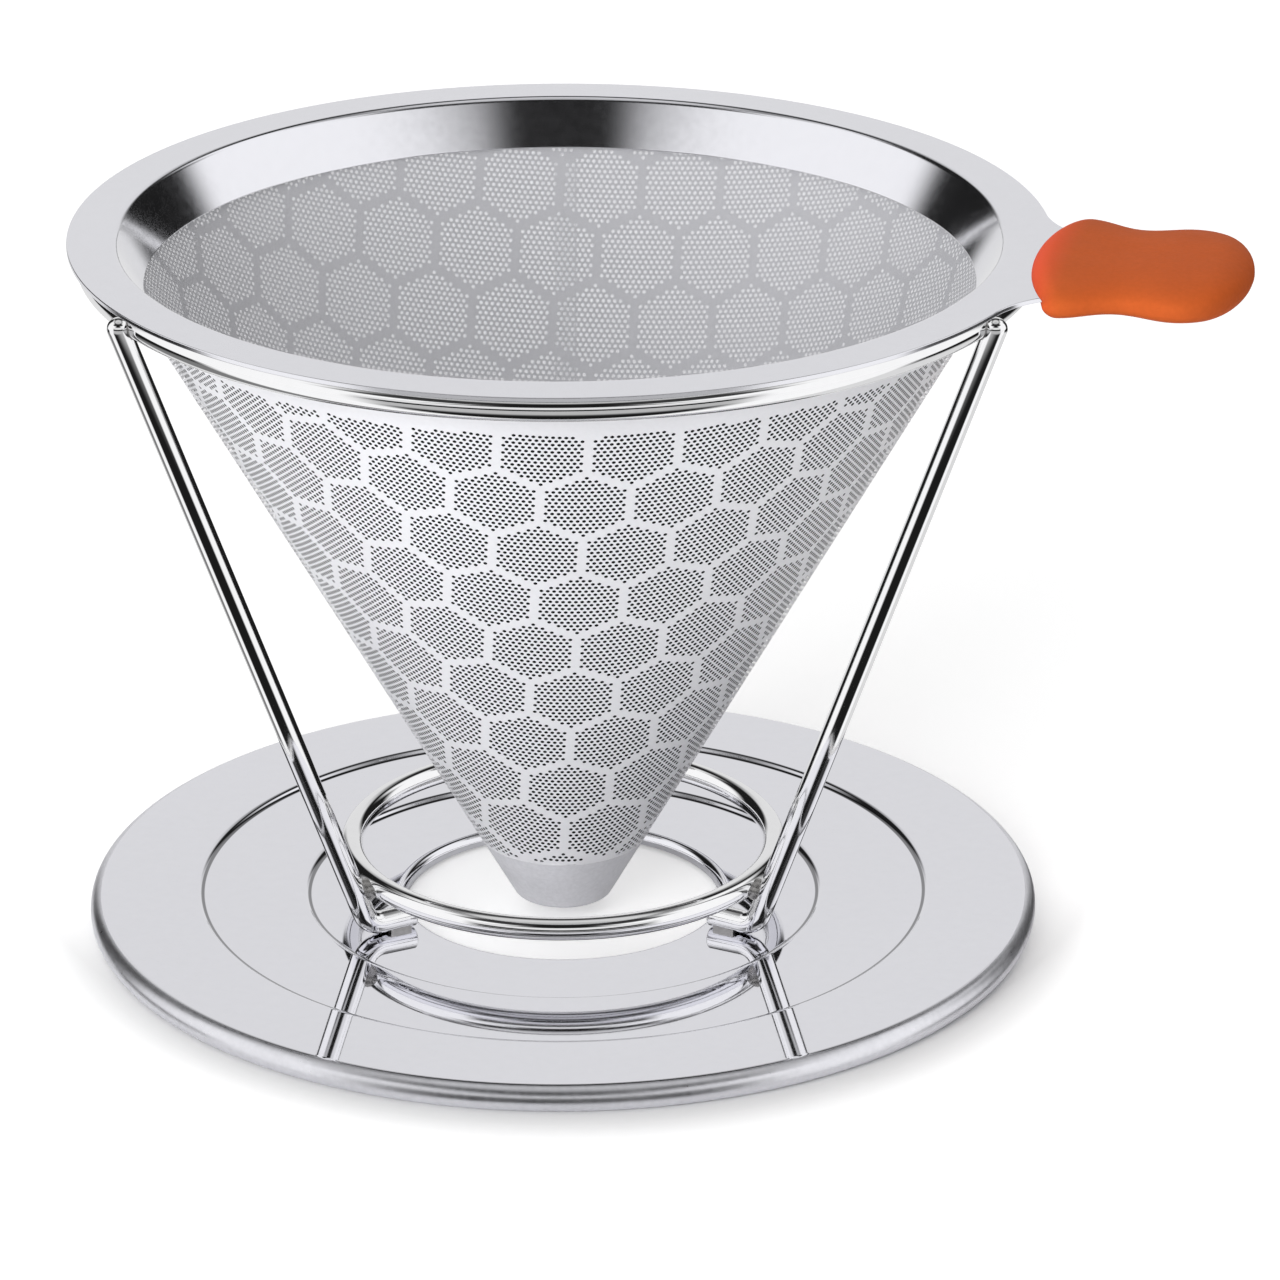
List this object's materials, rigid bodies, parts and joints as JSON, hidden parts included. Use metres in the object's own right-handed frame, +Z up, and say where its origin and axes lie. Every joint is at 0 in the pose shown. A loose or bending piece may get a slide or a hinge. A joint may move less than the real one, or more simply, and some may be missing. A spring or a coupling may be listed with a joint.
{
  "type": "pour over dripper",
  "caption": "Metal cone coffee filter with a flanged rim and a soft grip, resting by its flange on a welded wire stand with a round drip plate",
  "frame": {"origin": "on the axis of cone and stand, at the level of the table that the base plate stands on", "axes": "+Z up along the axis, +X from the axis towards the grip, +Y to the left of the grip seen from above with the grip pointing away"},
  "size_m": [0.1509, 0.125, 0.0967],
  "materials": {
    "plate_steel": "polished stainless sheet",
    "wire_steel": "polished stainless wire",
    "weld_steel": "dull weld metal",
    "rim_steel": "polished stainless sheet",
    "mesh_steel": "fine woven steel mesh",
    "cone_steel": "satin steel sheet with a honeycomb of fine holes",
    "tip_steel": "matt steel",
    "grip_silicone": "matt orange silicone"
  },
  "bodies": {
    "stand": {"base_plate": "plate_steel", "upper_ring": "wire_steel", "lower_ring": "wire_steel", "leg_left": "wire_steel", "leg_right": "wire_steel", "leg_rear": "wire_steel", "upper_ring_welds": "weld_steel", "lower_ring_welds": "weld_steel", "foot_welds": "weld_steel"},
    "filter": {"rim_flange": "rim_steel", "mesh_lining": "mesh_steel", "perforated_cone": "cone_steel", "tip_cap": "tip_steel", "grip_sleeve": "grip_silicone"}
  },
  "joints": [
    {"name": "filter_lift", "type": "slide", "parent": "stand", "child": "filter", "axis": [0, 0, 1], "range_m": [0, 0.1]}
  ]
}
